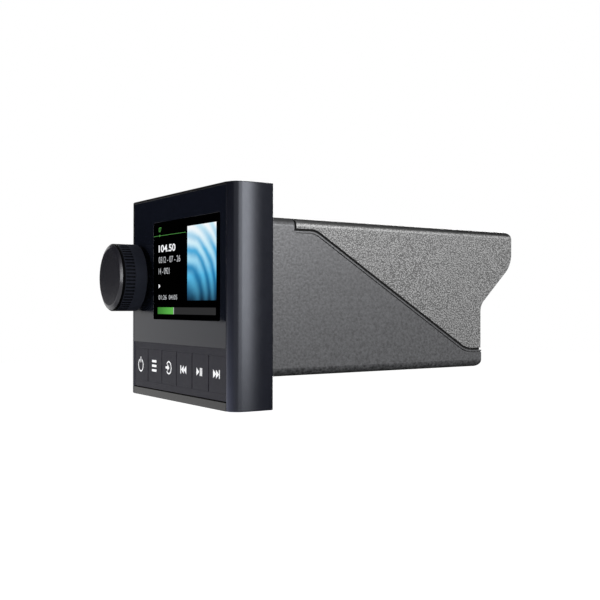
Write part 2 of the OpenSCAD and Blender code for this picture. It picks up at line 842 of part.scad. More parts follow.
// body, tapered by the draft, set in by a wall
module body_form(inset, y0) {
  l = top_l + past - y0;
  w = body_w - 2 * inset - 2 * slope * (y0 - y_body);
  h = body_h - 2 * inset - 2 * slope * (y0 - y_body);
  translate([0, y0, 0]) rotate([-90, 0, 0])
    linear_extrude(height = l, scale = [(w - 2 * slope * l) / w, (h - 2 * slope * l) / h], slices = 1)
      round_rect(w, h, max(body_r - inset, 0.6), $fn = 32);
}

// rear end of the cover, seen from the side
cover_top = skin_z(top_l) + cross;
over_a = [top_l, cover_top];
over_b = [top_l, over_z];
over_c = [low_l, under_z];
over_d = [low_l, -far];
cover_side = concat([[-far, far], [top_l - top_rear_r - past, far], [top_l - top_rear_r - past, cover_top]],
  fillet([0, cover_top], over_a, over_b, top_rear_r), fillet(over_a, over_b, over_c, over_r),
  fillet(over_b, over_c, over_d, under_r), [over_d, [-far, -far]]);

// rear end of the housing, seen from the side
house_low = -skin_z(house_l) - cross;
house_side = concat([[-far, far], [house_l, far]],
  fillet([house_l, far], [house_l, house_low], [0, house_low], low_rear_r),
  [[house_l - low_rear_r - past, house_low], [house_l - low_rear_r - past, -far], [-far, -far]]);

// everything above the seam, let down by some distance
function seam_zone(d) =
  let (back = d * tan(seam_angle / 2),
       a = [seam_y - d, seam_z - d], b = [seam_bend_y - back, seam_z - d],
       c = [seam_foot_y - back, seam_foot_z - d], e = [far, seam_foot_z - d])
  concat([[seam_y - d, far], a], fillet(a, b, c, seam_bend_r - d),
    fillet(b, c, e, seam_foot_r + d), [e, [far, far]]);

module above_seam(d) { along_x(-far, far) polygon(seam_zone(d)); }

module cover_form(inset) {
  intersection() {
    body_form(inset, y_body);
    along_x(-far, far) offset(delta = -inset) polygon(cover_side);
  }
}

module house_form(inset) {
  intersection() {
    body_form(inset, inset > 0 ? y_body - past : y_body);
    along_x(-far, far) offset(delta = -inset) polygon(house_side);
  }
}

// the two pairs of cover screws
module wells() {
  for (s = [-1, 1], y = [well_front, well_rear]) translate([s * well_x, y, seam_at(y)]) children();
}

module main_housing() {
  color([0.42, 0.42, 0.43]) {
    difference() {
      union() {
        difference() {
          union() {
            house_form(0);
            along_y(y_flange_front, y_flange)
              round_rect(cave_w - 2 * clear, cave_h - 2 * clear, cave_r - clear);
          }
          house_form(wall);
        }
        // bosses round the mounting inserts
        four(insert_x, insert_z)
          rod(0, 0, insert_r + insert_wall, y_flange - insert_l, y_flange_front + join);
        // wells for the cover screws
        intersection() {
          house_form(wall / 2);
          wells() post(0, 0, well_r, -far, past);
        }
        // posts for the main board
        for (s = [-1, 1], y = [post_front, post_rear])
          post(s * post_x, y, post_r, -skin_z(y) + wall / 2, floor_z);
      }
      above_seam(seam_gap / 2);
      // fine groove below the seam
      difference() {
        above_seam(seam_gap / 2 + strip_w + line_w);
        above_seam(seam_gap / 2 + strip_w);
        body_form(line_d, y_body - past);
        block([-far, -far, -far], [far, seam_y, far]);
      }
      wells() {
        post(0, 0, well_hole, -far, -well_floor);
        post(0, 0, screw_r + clear, -far, past);
      }
      for (s = [-1, 1], y = [post_front, post_rear])
        post(s * post_x, y, screw_r + drop_fit, floor_z - bite, floor_z + past);
      four(insert_x, insert_z) rod(0, 0, insert_r, y_flange - insert_l - past, y_flange + past);
      four(boss_x, boss_z) {
        rod(0, 0, screw_r + clear, y_flange_front - past, y_flange + past);
        rod(0, 0, head_r + clear, y_head, y_flange + past);
      }
    }
  }
}

rib_rise = 1;
rib_over = 6;
rib_z = deck_z + rib_rise;
rib_x = chip_w / 2 + rib_over;
hook_x = 18;
hook_w = 10;
hook_t = 1.5;
hook_l = 4;

module rear_cover() {
  color([0.46, 0.46, 0.45]) difference() {
    union() {
      intersection() {
        difference() {
          cover_form(0);
          cover_form(cover_wall);
        }
        above_seam(-seam_gap / 2);
      }
      intersection() {
        cover_form(cover_wall / 2);
        union() {
          // bosses for the cover screws, cut to the seam
          intersection() {
            wells() post(0, 0, well_r, -past - well_r, far);
            above_seam(-seam_gap / 2);
          }
          // rib that takes the amplifier's heat
          block([-rib_x, y_rib, rib_z], [rib_x, y_rib + rib_t, far]);
        }
      }
      // hooks under the housing's top strip
      for (s = [-1, 1]) translate([s * hook_x, seam_y, skin_z(seam_y)])
        block([-hook_w / 2, -hook_l, -cover_wall - hook_t], [hook_w / 2, hook_l, -wall - 2 * clear]);
    }
    wells() post(0, 0, screw_r + drop_fit, -far, cover_screw_l - well_floor + clear);
    // openings for the sockets
    block([power_x - power_w / 2 - drop_fit, y_wall_in - past, power_z - power_h / 2 - drop_fit],
      [power_x + power_w / 2 + drop_fit, low_l + past, power_z + power_h / 2 + drop_fit]);
    block([net_x - net_w / 2 - drop_fit, y_wall_in - past, net_z - net_h / 2 - drop_fit],
      [net_x + net_w / 2 + drop_fit, low_l + past, net_z + net_h / 2 + drop_fit]);
    rod(data_x, round_z, data_r + drop_fit, y_wall_in - past, low_l + past);
    rod(ant_x, round_z, ant_out_r + drop_fit, y_wall_in - past, low_l + past);
    // holes for the clamp screws
    for (s = [-1, 1]) rod(s * clamp_x, clamp_z, screw_r + drop_fit, y_rib - past, y_rib + bite - clear);
  }
}

module cover_seal() {
  color([0.05, 0.05, 0.05]) intersection() {
    difference() {
      cover_form(seal_in);
      cover_form(seal_in + seal_w);
    }
    difference() {
      above_seam(seam_gap / 2);
      above_seam(-seam_gap / 2);
    }
  }
}

module cover_screws() {
  color([0.6, 0.6, 0.62]) wells() {
    post(0, 0, head_r, -well_floor - head_t, -well_floor);
    post(0, 0, screw_r, -well_floor - join, cover_screw_l - well_floor);
  }
}

module main_board() {
  color([0.05, 0.3, 0.15]) difference() {
    block([-board_x, board_front, floor_z], [board_x, board_rear, deck_z]);
    for (s = [-1, 1], y = [well_front, well_rear])
      post(s * well_x, y, well_r + clear, floor_z - past, deck_z + past);
    for (s = [-1, 1], y = [post_front, post_rear])
      post(s * post_x, y, screw_r + clear, floor_z - past, deck_z + past);
  }
}

module main_board_screws() {
  color([0.6, 0.6, 0.62]) for (s = [-1, 1], y = [post_front, post_rear]) {
    post(s * post_x, y, head_r, deck_z, deck_z + head_t);
    post(s * post_x, y, screw_r, floor_z - bite + clear, deck_z + join);
  }
}

module amplifier_chip() {
  color([0.08, 0.08, 0.08])
    block([-chip_w / 2, chip_y, deck_z], [chip_w / 2, chip_y + chip_t, deck_z + chip_h]);
}

module thermal_pad() {
  color([0.7, 0.75, 0.8]) block([-chip_w / 2, chip_y + chip_t, rib_z], [chip_w / 2, y_rib, deck_z + chip_h]);
}

clamp_foot = 5.8;
clamp_head_r = 1.8;
clamp_h = 7;
foot_x = chip_w / 2 + clear + clamp_foot / 2;
clamp_x = foot_x + clamp_t / 2;
clamp_z = deck_z + chip_h / 2;
y_clamp = chip_y - clamp_t;

module chip_clamp() {
  color([0.65, 0.65, 0.66]) {
    // bar across the chip with a foot on the rib at each side
    difference() {
      translate([0, 0, clamp_z - clamp_h / 2]) linear_extrude(clamp_h) union() {
        translate([-chip_w / 2 - clear - clamp_t, y_clamp]) square([chip_w + 2 * (clear + clamp_t), clamp_t]);
        for (s = [-1, 1]) {
          translate([s * (chip_w / 2 + clear + clamp_t / 2) - clamp_t / 2, y_clamp])
            square([clamp_t, y_rib - y_clamp]);
          translate([s * foot_x - clamp_foot / 2, y_rib - clamp_t]) square([clamp_foot, clamp_t]);
        }
      }
      for (s = [-1, 1]) rod(s * clamp_x, clamp_z, screw_r + clear, y_rib - clamp_t - past, y_rib + past);
    }
  }
}

module clamp_screws() {
  color([0.6, 0.6, 0.62]) for (s = [-1, 1]) {
    rod(s * clamp_x, clamp_z, clamp_head_r, y_rib - clamp_t - head_t, y_rib - clamp_t);
    rod(s * clamp_x, clamp_z, screw_r, y_rib - clamp_t - join, y_rib + bite - 2 * clear);
  }
}

module filter_capacitors() {
  color([0.15, 0.15, 0.2]) for (i = [-1:1]) post(i * cap_pitch, cap_y, cap_r, deck_z, deck_z + cap_h);
}

// midway between the heat rib and the sockets
choke_y = (y_rib + rib_t + y_sock) / 2;

module choke_coil() {
  color([0.7, 0.4, 0.2]) translate([choke_x, choke_y, deck_z + choke_r])
    rotate_extrude() translate([choke_ring, 0]) circle(r = choke_r);
}

// flat cable from the front board to the main board, seen from the side
ribbon_z = deck_z + ribbon_rise;
ribbon_x = ribbon_w / 2;
plug_side = 1;
y_ribbon = y_board + board_t + ribbon_plug;
plug_z = deck_z + ribbon_plug;
ribbon_line = [[y_ribbon, ribbon_z + ribbon_hold], [y_ribbon + ribbon_t, ribbon_z + ribbon_hold],
  [y_ribbon + ribbon_t, ribbon_z], [plug_y - ribbon_t, plug_z + ribbon_t],
  [plug_y + ribbon_hold, plug_z + ribbon_t], [plug_y + ribbon_hold, plug_z],
  [plug_y - 1.5 * ribbon_t, plug_z], [y_ribbon, ribbon_z - ribbon_t]];

module flat_cable() {
  color([0.85, 0.85, 0.8]) along_x(-ribbon_x, ribbon_x) polygon(ribbon_line);
}

module cable_plugs() {
  color([0.9, 0.9, 0.85]) {
    block([-ribbon_x - plug_side, y_board + board_t, ribbon_z],
      [ribbon_x + plug_side, y_ribbon, ribbon_z + plug_d]);
    block([-ribbon_x - plug_side, plug_y, deck_z], [ribbon_x + plug_side, plug_y + plug_d, plug_z]);
  }
}

// latch of the power plug
latch_w = 5;
latch_d = 4.8;
latch_skin = 0.6;

module power_socket() {
  color([0.08, 0.08, 0.09]) translate([power_x, 0, power_z]) difference() {
    block([-power_w / 2, y_sock, -power_h / 2], [power_w / 2, y_mouth, power_h / 2]);
    block([-power_w / 2 + socket_wall, y_sock + sock_floor, -power_h / 2 + socket_wall],
      [power_w / 2 - socket_wall, y_mouth + past, power_h / 2 - socket_wall]);
    // slot for the plug's latch
    block([-latch_w / 2, y_mouth - latch_d, power_h / 2 - socket_wall - past],
      [latch_w / 2, y_mouth + past, power_h / 2 - latch_skin]);
  }
}

// bottom of the network plug and of its latch
net_sill = 3;
net_latch_sill = 1.2;
net_latch_w = 6;

module network_socket() {
  color([0.1, 0.1, 0.11]) translate([net_x, 0, net_z]) difference() {
    block([-net_w / 2, y_sock, -net_h / 2], [net_w / 2, y_mouth, net_h / 2]);
    block([-net_w / 2 + net_wall, y_sock + sock_floor, -net_h / 2 + net_sill],
      [net_w / 2 - net_wall, y_mouth + past, net_h / 2 - net_wall]);
    // step for the plug's latch
    block([-net_latch_w / 2, y_sock + sock_floor, -net_h / 2 + net_latch_sill],
      [net_latch_w / 2, y_mouth + past, 0]);
  }
}

module data_connector() {
  color([0.7, 0.7, 0.7]) translate([data_x, 0, round_z]) difference() {
    union() {
      rod(0, 0, data_r, y_wall_in - shoulder_t, low_l + data_out);
      // shoulder outside the wall
      rod(0, 0, shoulder_r, low_l, low_l + shoulder_t);
    }
    rod(0, 0, data_r - data_wall, low_l + data_floor, low_l + data_out + past);
  }
}

module antenna_socket() {
  color([0.75, 0.74, 0.7]) translate([ant_x, 0, round_z]) difference() {
    rod(0, 0, ant_out_r, y_wall_in - shoulder_t, low_l + ant_out);
    rod(0, 0, ant_r, low_l, low_l + ant_out + past);
    rod(0, 0, ant_core, y_wall_in, low_l + past);
  }
}

// the ring of data pins and the two rows of power pins
data_ring = 2.4;
pin_row = 2;
data_pins = 4;
power_cols = 6;
net_pins = 8;

module contact_pins() {
  y_pin = y_sock + sock_floor;
  y_data = low_l + data_floor;
  color([0.8, 0.7, 0.4]) {
    translate([power_x, 0, power_z]) for (i = [0:power_cols - 1], j = [-1, 1])
      rod((i - (power_cols - 1) / 2) * pin_pitch, j * pin_row, pin_r, y_pin, y_pin + pin_l);
    for (i = [0:data_pins - 1]) translate([data_x, 0, round_z]) rotate([0, 45 + i * 360 / data_pins, 0])
      rod(data_ring, 0, pin_r, y_data, y_data + pin_l);
    rod(data_x, round_z, pin_r, y_data, y_data + pin_l);
    translate([net_x, 0, net_z + net_h / 2 - net_wall])
      for (i = [0:net_pins - 1]) translate([(i - (net_pins - 1) / 2) * net_pitch, 0, 0])
        block([-net_pin / 2, y_pin, -net_pin], [net_pin / 2, y_pin + pin_l, 0]);
  }
}

front_bezel();
face_panel();
display_glass();
lcd_foam_ring();
lcd_panel();
lcd_frame();
front_board();
keypad_frame();
left_trim();
right_trim();
mounting_gasket();
mount_inserts();
housing_screws();
tact_switches();
key_power();
key_menu();
key_source();
key_back();
key_play();
key_next();
plunger_power();
plunger_menu();
plunger_source();
plunger_back();
plunger_play();
plunger_next();
encoder_case();
encoder_bushing();
encoder_nut();
encoder_seal();
encoder_rotor();
encoder_shaft();
knob_grip();
knob_cap();
main_housing();
rear_cover();
cover_seal();
cover_screws();
main_board();
main_board_screws();
amplifier_chip();
thermal_pad();
chip_clamp();
clamp_screws();
filter_capacitors();
choke_coil();
flat_cable();
cable_plugs();
power_socket();
network_socket();
data_connector();
antenna_socket();
contact_pins();
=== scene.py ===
"""Looks of a panel-mounted marine stereo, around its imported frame. Metres, +Y into the dash, +Z up."""
import json
import math

import bmesh
import bpy
from mathutils import Matrix, Vector

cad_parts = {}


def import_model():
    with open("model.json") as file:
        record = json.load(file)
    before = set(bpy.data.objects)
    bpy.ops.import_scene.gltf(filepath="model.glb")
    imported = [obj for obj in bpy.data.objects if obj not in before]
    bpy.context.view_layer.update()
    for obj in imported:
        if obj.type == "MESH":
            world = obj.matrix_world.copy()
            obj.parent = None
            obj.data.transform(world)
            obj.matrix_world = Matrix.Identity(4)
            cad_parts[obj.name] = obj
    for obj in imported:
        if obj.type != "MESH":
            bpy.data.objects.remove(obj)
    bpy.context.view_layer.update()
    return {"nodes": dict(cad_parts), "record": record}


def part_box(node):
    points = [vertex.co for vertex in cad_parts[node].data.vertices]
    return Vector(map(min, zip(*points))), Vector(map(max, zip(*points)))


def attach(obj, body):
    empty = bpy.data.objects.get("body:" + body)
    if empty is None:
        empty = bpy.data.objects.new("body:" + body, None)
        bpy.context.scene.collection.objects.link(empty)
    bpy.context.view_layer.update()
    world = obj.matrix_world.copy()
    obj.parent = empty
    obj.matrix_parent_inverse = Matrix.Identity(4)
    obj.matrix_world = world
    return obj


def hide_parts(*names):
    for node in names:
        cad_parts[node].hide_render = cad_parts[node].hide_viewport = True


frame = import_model()

MM = 0.001
KEYS = ("power", "menu", "source", "back", "play", "next")
BODY_OF = {name: body for body, names in frame["record"]["behaviour"]["bodies"].items() for name in names}
SLOT_OF = {part["node"]: part["material_slot"] for part in frame["record"]["subparts"]}
scene = bpy.context.scene

# Camera, fitted to the straight edges of the photograph, with its angles in degrees
CAMERA_AT = Vector((348.3, -172.3, -3.0)) * MM
CAMERA_AZIMUTH = 58.8716
CAMERA_ELEVATION = -0.303
CAMERA_ROLL = 0.111
CAMERA_LENS = 59.96
SENSOR = 36.0
CLIP_START = 0.01


def outward(azimuth, elevation):
    """Unit vector out of the object, at an azimuth from the front towards the right side, in degrees."""
    az = math.radians(azimuth)
    el = math.radians(elevation)
    return Vector((math.sin(az) * math.cos(el), -math.cos(az) * math.cos(el), math.sin(el)))


def camera():
    roll = math.radians(CAMERA_ROLL)
    back = outward(CAMERA_AZIMUTH, CAMERA_ELEVATION)
    level = Vector((0, 0, 1)).cross(back).normalized()
    right = level * math.cos(roll) + back.cross(level) * math.sin(roll)
    data = bpy.data.cameras.new("camera")
    data.lens = CAMERA_LENS
    data.sensor_width = SENSOR
    data.clip_start = CLIP_START
    eye = bpy.data.objects.new("camera", data)
    eye.matrix_world = Matrix((right, back.cross(right), back)).transposed().to_4x4()
    eye.matrix_world.translation = CAMERA_AT
    scene.collection.objects.link(eye)
    scene.camera = eye


# Nodes of the materials

# The colour sockets of a mix node, whose names it also uses for other sockets
MIX_A = 6
MIX_B = 7
MIX_RESULT = 2
NOISE_ROUGHNESS = 0.55
# Most of a noise lies between these
NOISE_LOW = 0.3
NOISE_HIGH = 0.7
CREVICE_SAMPLES = 8
# Distance between two crests of the wave texture at a scale of 1
WAVE_PERIOD = math.pi / 10
# The Z of a normal from which, and at which, a surface counts as a flat top
TOP_STARTS = 0.97
TOP_IS_FLAT = 0.995


def shader_of(mat):
    return mat.node_tree.nodes["Principled BSDF"]


def material(name, base, rough, sockets=None):
    """A Principled material with plain values on its sockets, some of which nodes vary later."""
    mat = bpy.data.materials.new(name)
    mat.use_nodes = True
    values = {"Base Color": (*base, 1), "Roughness": rough, **(sockets or {})}
    for socket, value in values.items():
        shader_of(mat).inputs[socket].default_value = value
    return mat


def node(mat, kind, values=None, **settings):
    """A node in the material, with values on its input sockets and settings on itself."""
    made = mat.node_tree.nodes.new(kind)
    for setting, value in settings.items():
        setattr(made, setting, value)
    for socket, value in (values or {}).items():
        made.inputs[socket].default_value = value
    return made


def join(mat, source, target):
    mat.node_tree.links.new(source, target)


def position(mat):
    """The place on the surface, in the frame of the part."""
    return node(mat, "ShaderNodeTexCoord").outputs["Object"]


def component(mat, vector, axis):
    split = node(mat, "ShaderNodeSeparateXYZ")
    join(mat, vector, split.inputs["Vector"])
    return split.outputs[axis]


def noise(mat, size, detail=3.0, stretch=(1, 1, 1)):
    """Noise with spots of about that size."""
    mapping = node(mat, "ShaderNodeMapping", {"Scale": stretch})
    texture = node(mat, "ShaderNodeTexNoise",
                   {"Scale": 1 / size, "Detail": detail, "Roughness": NOISE_ROUGHNESS})
    join(mat, position(mat), mapping.inputs["Vector"])
    join(mat, mapping.outputs["Vector"], texture.inputs["Vector"])
    return texture.outputs["Fac"]


def cells(mat, size):
    """Distance from the middle of cells of about that size."""
    texture = node(mat, "ShaderNodeTexVoronoi", {"Scale": 1 / size}, feature="F1")
    join(mat, position(mat), texture.inputs["Vector"])
    return texture.outputs["Distance"]


def spread(mat, source, low, high, start=NOISE_LOW, end=NOISE_HIGH):
    """The source's start to end, spread over low to high."""
    spreader = node(mat, "ShaderNodeMapRange",
                    {"From Min": start, "From Max": end, "To Min": low, "To Max": high})
    join(mat, source, spreader.inputs["Value"])
    return spreader.outputs["Result"]


def rest_of(mat, share):
    """What a share leaves of 1."""
    return spread(mat, share, 1, 0, start=0, end=1)


def combine(mat, operation, first, second):
    """Two sockets, or a socket and a number, by a maths operation."""
    maths = node(mat, "ShaderNodeMath", operation=operation)
    join(mat, first, maths.inputs[0])
    if isinstance(second, (int, float)):
        maths.inputs[1].default_value = second
    else:
        join(mat, second, maths.inputs[1])
    return maths.outputs["Value"]


def wander(mat, source, dark, pale):
    """Base colour that wanders between two multiples of its plain value."""
    base = shader_of(mat).inputs["Base Color"]
    tone = Vector(base.default_value[:3])
    mix = node(mat, "ShaderNodeMix", data_type="RGBA")
    mix.inputs[MIX_A].default_value = (*(tone * dark), 1)
    mix.inputs[MIX_B].default_value = (*(tone * pale), 1)
    join(mat, source, mix.inputs["Factor"])
    join(mat, mix.outputs[MIX_RESULT], base)


def dull(mat, source, low, high):
    """Roughness that wanders between two values."""
    join(mat, spread(mat, source, low, high), shader_of(mat).inputs["Roughness"])


def eased(mat, rough, smooth_rough, share):
    """Roughness that goes over to a plain value on a share of the surface."""
    step = combine(mat, "MULTIPLY", combine(mat, "SUBTRACT", rough, smooth_rough), rest_of(mat, share))
    join(mat, combine(mat, "ADD", step, smooth_rough), shader_of(mat).inputs["Roughness"])


def relief(mat, height, depth, share=None):
    """Fine relief of that depth, over a share of the surface."""
    bump = node(mat, "ShaderNodeBump", {"Strength": 1.0, "Distance": depth})
    if share is not None:
        join(mat, share, bump.inputs["Strength"])
    join(mat, height, bump.inputs["Height"])
    join(mat, bump.outputs["Normal"], shader_of(mat).inputs["Normal"])


def shade(mat, factor):
    """The base colour times a factor."""
    base = shader_of(mat).inputs["Base Color"]
    mix = node(mat, "ShaderNodeMix", {"Factor": 1.0}, data_type="RGBA", blend_type="MULTIPLY")
    join(mat, base.links[0].from_socket, mix.inputs[MIX_A])
    join(mat, factor, mix.inputs[MIX_B])
    join(mat, mix.outputs[MIX_RESULT], base)


def paint_crevice_shade(mat, reach, power=1):
    """Painted shade: base colour that darkens in gaps and grooves no deeper than reach."""
    hollow = node(mat, "ShaderNodeAmbientOcclusion", {"Distance": reach}, samples=CREVICE_SAMPLES)
    shade(mat, combine(mat, "POWER", hollow.outputs["AO"], power))


def paint_front_shade(mat, start, end, left):
    """Painted shade: base colour of which only a part is left in front of start in Y, and all behind end."""
    shade(mat, spread(mat, component(mat, position(mat), "Y"), left, 1, start, end))


def facing_up(mat, start, end):
    """Share that goes from 0 to 1 as the normal's Z goes from start to end."""
    normal = node(mat, "ShaderNodeNewGeometry").outputs["Normal"]
    return spread(mat, component(mat, normal, "Z"), 0, 1, start, end)


def upper_rounding(mat, start, end):
    """Share of 1 on the rounding under a flat top, and of 0 on the top itself."""
    below_top = rest_of(mat, facing_up(mat, TOP_STARTS, TOP_IS_FLAT))
    return combine(mat, "MINIMUM", facing_up(mat, start, end), below_top)


def paint_rounding_shade(mat, start, end, left):
    """Painted shade: base colour of which only a part is left on the upper rounding."""
    shade(mat, spread(mat, upper_rounding(mat, start, end), 1, left, start=0, end=1))


def fade(mat, axis, start, end, colours):
    """Colours that follow each other evenly along an axis, from start to end."""
    ramp = node(mat, "ShaderNodeValToRGB")
    stops = ramp.color_ramp.elements
    for i in range(1, len(colours) - 1):
        stops.new(i / (len(colours) - 1))
    for stop, colour in zip(stops, colours):
        stop.color = (*colour, 1)
    join(mat, spread(mat, component(mat, position(mat), axis), 0, 1, start, end), ramp.inputs["Fac"])
    return ramp.outputs["Color"]


def seen_plainly(mat):
    """1 for rays from the eye, off gloss or through glass, and 0 for all others."""
    rays = node(mat, "ShaderNodeLightPath")
    seen = combine(mat, "MAXIMUM", rays.outputs["Is Camera Ray"], rays.outputs["Is Glossy Ray"])
    return combine(mat, "MAXIMUM", seen, rays.outputs["Is Transmission Ray"])


# Materials

def grey(level):
    return (level, level, level)


def panel_gloss():
    mat = material("panel_gloss", (0.0072, 0.0089, 0.0154), 0.05,
                   {"IOR": 1.29, "Specular Tint": (0.96, 0.95, 1, 1)})
    wander(mat, noise(mat, 9 * MM), dark=0.92, pale=1.08)
    dull(mat, noise(mat, 3 * MM, detail=4), low=0.04, high=0.075)
    return mat


def screen_black():
    mat = material("screen_black", grey(0.0003), 0.2, {"Specular IOR Level": 0.0})
    wander(mat, noise(mat, 4 * MM), dark=0.67, pale=1.33)
    return mat


def satin_black(name, tone, rough, specular, sheen=(1, 1, 1), depth=0.004 * MM):
    """Moulded black plastic with a fine spark-eroded texture."""
    mat = material(name, tone, rough, {"Specular IOR Level": specular, "Specular Tint": (*sheen, 1)})
    wander(mat, noise(mat, 7 * MM), dark=0.85, pale=1.15)
    dull(mat, noise(mat, 2.5 * MM, detail=4), low=rough * 0.95, high=rough * 1.05)
    relief(mat, noise(mat, 0.35 * MM, detail=2), depth)
    return mat


def housing_grey():
    """Faintly mottled paint, matt where it faces up, with painted shade in its crevices and on its upper
    rounding.
    """
    mat = material("housing_grey", (0.03, 0.0305, 0.032), 0.4,
                   {"Specular IOR Level": 0.48, "Specular Tint": (0.97, 0.97, 1, 1)})
    mottle = noise(mat, 1.0 * MM, detail=2)
    wander(mat, spread(mat, mottle, 0, 1), dark=0.2, pale=1.8)
    rough = spread(mat, mottle, 0.46, 0.34)
    eased(mat, rough, smooth_rough=0.65, share=facing_up(mat, start=0.03, end=0.2))
    relief(mat, mottle, depth=0.05 * MM)
    paint_crevice_shade(mat, reach=1.2 * MM)
    paint_rounding_shade(mat, start=0.3, end=0.55, left=0.15)
    return mat


def cover_grained():
    """Coarse cast grain that fades out on the upper rounding: pebbles with darker pits between them. Painted
    shade also darkens its crevices and its upper rounding.
    """
    pebble_share = 0.9
    mat = material("cover_grained", grey(0.06), 0.42, {"IOR": 1.55, "Specular IOR Level": 0.7})
    pebbles = combine(mat, "MULTIPLY", cells(mat, 0.55 * MM), pebble_share)
    height = combine(mat, "SUBTRACT", noise(mat, 0.35 * MM, detail=2), pebbles)
    # The pits' darker tone is partly the grain's own tone and partly painted shade in its hollows
    wander(mat, spread(mat, height, 0, 1, start=-0.05, end=0.27), dark=0.1, pale=2.3)
    smooth = upper_rounding(mat, start=0.05, end=0.25)
    rough = spread(mat, height, 0.55, 0.36)
    eased(mat, rough, smooth_rough=0.36, share=smooth)
    relief(mat, height, depth=0.12 * MM, share=rest_of(mat, smooth))
    paint_crevice_shade(mat, reach=1.2 * MM)
    paint_rounding_shade(mat, start=0.3, end=0.5, left=0.1)
    return mat


def soft_rubber():
    mat = material("soft_rubber", grey(0.004), 0.7, {"Specular IOR Level": 0.1})
    wander(mat, noise(mat, 4 * MM), dark=0.75, pale=1.25)
    relief(mat, noise(mat, 0.4 * MM), depth=0.01 * MM)
    return mat


def plain_metal(name, base, rough):
    mat = material(name, base, rough, {"Metallic": 1.0})
    wander(mat, noise(mat, 3 * MM), dark=0.9, pale=1)
    dull(mat, noise(mat, 0.8 * MM, detail=4, stretch=(1, 6, 1)), low=rough - 0.06, high=rough + 0.08)
    return mat


def plain_plastic(name, base, rough=0.5):
    mat = material(name, base, rough)
    wander(mat, noise(mat, 5 * MM), dark=0.9, pale=1.08)
    dull(mat, noise(mat, 2 * MM, detail=4), low=rough - 0.05, high=rough + 0.06)
    return mat


def icon_white():
    mat = material("icon_white", grey(0.8), 0.5,
                   {"Emission Color": (0.96, 0.97, 1.0, 1), "Emission Strength": 0.45})
    wander(mat, noise(mat, 2 * MM), dark=0.95, pale=1.05)
    return mat


def glowing(name, colour):
    """A lit patch of the display, with the slight unevenness of its backlight."""
    mat = material(name, grey(0.002), 0.3, {"Specular IOR Level": 0.0, "Emission Color": (*colour, 1)})
    uneven = spread(mat, noise(mat, 0.6 * MM, detail=2), 0.94, 1.0)
    join(mat, uneven, shader_of(mat).inputs["Emission Strength"])
    return mat


def glowing_bar(name, start, end, colours):
    """A lit bar that fades along X."""
    mat = glowing(name, colours[0])
    join(mat, fade(mat, "X", start, end, colours), shader_of(mat).inputs["Emission Color"])
    return mat


def glowing_ripples(name, low, high, trough, crest, centre, pitch):
    """A lit picture: rings round a centre, from trough to crest colours that both fade upwards."""
    mat = glowing(name, crest[0])
    shift = node(mat, "ShaderNodeVectorMath", {1: centre}, operation="SUBTRACT")
    join(mat, position(mat), shift.inputs[0])
    rings = node(mat, "ShaderNodeTexWave",
                 {"Scale": WAVE_PERIOD / pitch, "Distortion": 1.6, "Detail": 3, "Detail Scale": 1.4},
                 wave_type="RINGS", rings_direction="SPHERICAL")
    join(mat, shift.outputs["Vector"], rings.inputs["Vector"])
    mix = node(mat, "ShaderNodeMix", data_type="RGBA")
    join(mat, rings.outputs["Fac"], mix.inputs["Factor"])
    join(mat, fade(mat, "Z", low, high, trough), mix.inputs[MIX_A])
    join(mat, fade(mat, "Z", low, high, crest), mix.inputs[MIX_B])
    join(mat, mix.outputs[MIX_RESULT], shader_of(mat).inputs["Emission Color"])
    return mat


# Pieces

WELD = 0.002 * MM
FLAT_ANGLE = math.radians(0.5)
UPRIGHT_RISE = 5 * MM


def add_piece(name, mesh, mat, body):
    piece = bpy.data.objects.new(name, mesh)
    scene.collection.objects.link(piece)
    piece.data.materials.clear()
    piece.data.materials.append(mat)
    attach(piece, body)
    return piece


def every_edge(a, b):
    return True


def no_edge(a, b):
    return False


def upright_edge(a, b):
    """Whether an edge runs up or down for some way."""
    return abs(a.z - b.z) > UPRIGHT_RISE


def dress(name, mat, width, segments=2, sharp_from=35, eases=every_edge, flat_faces=True):
    """The CAD piece with its sharp edges eased by width. eases picks edges by their two ends."""
    sharp = math.radians(sharp_from)
    form = bmesh.new()
    form.from_mesh(frame["nodes"][name].data)
    bmesh.ops.remove_doubles(form, verts=form.verts, dist=WELD)
    bmesh.ops.dissolve_limit(form, angle_limit=FLAT_ANGLE, verts=form.verts, edges=form.edges)
    weight = form.edges.layers.float.new("bevel_weight_edge")
    for edge in form.edges:
        if len(edge.link_faces) == 2 and edge.calc_face_angle(0) > sharp:
            edge[weight] = float(eases(edge.verts[0].co, edge.verts[1].co))
    for face in form.faces:
        face.smooth = True
    mesh = bpy.data.meshes.new(name + "_finish")
    form.to_mesh(mesh)
    form.free()
    mesh.set_sharp_from_angle(angle=sharp)
    piece = add_piece(name + "_finish", mesh, mat, BODY_OF[name])
    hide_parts(name)
    bevel = piece.modifiers.new("eased edges", "BEVEL")
    bevel.limit_method = "WEIGHT"
    bevel.width = width
    bevel.segments = segments
    bevel.miter_outer = "MITER_ARC"
    bevel.harden_normals = True
    if flat_faces:
        piece.modifiers.new("flat faces", "WEIGHTED_NORMAL").keep_sharp = True
    return piece


def plate(name, outlines, front, thick, mat, body):
    """Flat prisms from outlines drawn in X and Z, from front to front + thick in Y."""
    form = bmesh.new()
    for outline in outlines:
        near = [form.verts.new((x, front, z)) for x, z in outline]
        form.faces.new(near)
        far = [form.verts.new((x, front + thick, z)) for x, z in outline]
        form.faces.new(far)
        for i in range(len(outline)):
            j = (i + 1) % len(outline)
            form.faces.new((near[i], near[j], far[j], far[i]))
    bmesh.ops.recalc_face_normals(form, faces=form.faces)
    mesh = bpy.data.meshes.new(name)
    form.to_mesh(mesh)
    form.free()
    return add_piece(name, mesh, mat, body)


# Outlines

BAND_STEPS = 28
DISC_STEPS = 16


def rectangle(left, low, right, high):
    return [(left, low), (right, low), (right, high), (left, high)]


